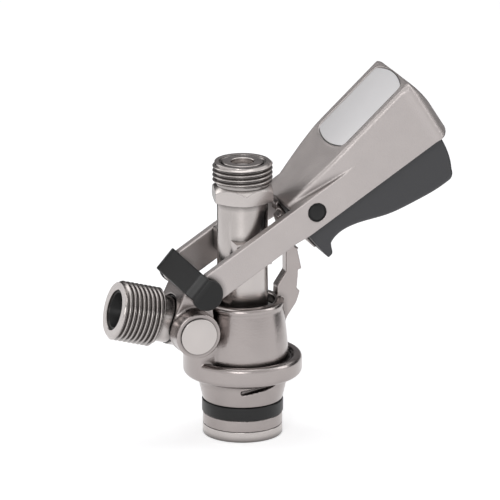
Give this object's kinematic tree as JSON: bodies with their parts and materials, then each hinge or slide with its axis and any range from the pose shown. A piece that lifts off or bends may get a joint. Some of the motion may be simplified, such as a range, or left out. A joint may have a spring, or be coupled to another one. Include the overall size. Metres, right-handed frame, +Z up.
{
  "type": "keg coupler",
  "caption": "Keg coupler: cast bayonet body, side gas inlet, threaded beer outlet, forked lever with squeeze trigger, locking rack and sliding probe.",
  "frame": {"origin": "centre of the neck's bottom face, on the probe axis", "axes": "+Z up along the probe towards the beer outlet, +X towards the handle, -X towards the gas inlet, +Y along the lever's hinge"},
  "size_m": [0.1345, 0.0454, 0.1367],
  "materials": {
    "cast_steel": "satin investment casting, edges polished by tumbling",
    "turned_steel": "turned and polished stainless steel",
    "blasted_alloy": "bead-blasted die casting",
    "black_plastic": "moulded, fine texture",
    "grey_plastic": "moulded, fine texture",
    "white_plastic": "moulded bearing plastic",
    "rubber": "food-grade rubber",
    "label_plate": "plain off-white plate, semi-gloss"
  },
  "bodies": {
    "body": {"body_casting": "cast_steel", "collar_bush": "white_plastic", "upper_seal": "rubber", "neck_seal": "rubber", "retaining_ring": "turned_steel", "gas_stem": "turned_steel", "gas_stem_washer": "rubber", "gas_check_valve": "rubber", "port_plug": "turned_steel", "port_plug_washer": "rubber", "hinge_pin": "turned_steel", "hinge_spacers": "white_plastic"},
    "probe": {"probe_tube": "turned_steel", "outlet_nipple": "turned_steel", "outlet_seat_ring": "turned_steel", "probe_seal": "rubber", "tip_screw": "turned_steel", "ball_cage": "white_plastic"},
    "check_ball": {"check_ball": "turned_steel"},
    "lever": {"lever_casting": "blasted_alloy", "label_plate": "label_plate", "drive_pins": "turned_steel", "hinge_cover": "black_plastic", "trigger_pin": "turned_steel", "pin_caps": "black_plastic", "trigger_spring": "turned_steel"},
    "trigger": {"trigger_grip": "grey_plastic", "pawl_plate": "turned_steel"}
  },
  "joints": [
    {"name": "lever_swing", "type": "hinge", "parent": "body", "child": "lever", "pos_m": [-0.0207, 0, 0.0621], "axis": [0, 1, 0], "range_deg": [0, 24.1]},
    {"name": "probe_slide", "type": "slide", "parent": "body", "child": "probe", "axis": [0, 0, -1], "range_m": [0, 0.00889]},
    {"name": "trigger_squeeze", "type": "hinge", "parent": "lever", "child": "trigger", "pos_m": [0.02367, 0, 0.08979], "axis": [0, -1, 0], "range_deg": [-4, 8], "stiffness_Nm_per_rad": 0.4, "springref_deg": 1.72},
    {"name": "check_ball_lift", "type": "slide", "parent": "probe", "child": "check_ball", "axis": [0, 0, 1], "range_m": [0, 0.003]}
  ],
  "couplings": [
    {"joint": "probe_slide", "follows": "lever_swing", "m_per_rad": 0.02101}
  ]
}
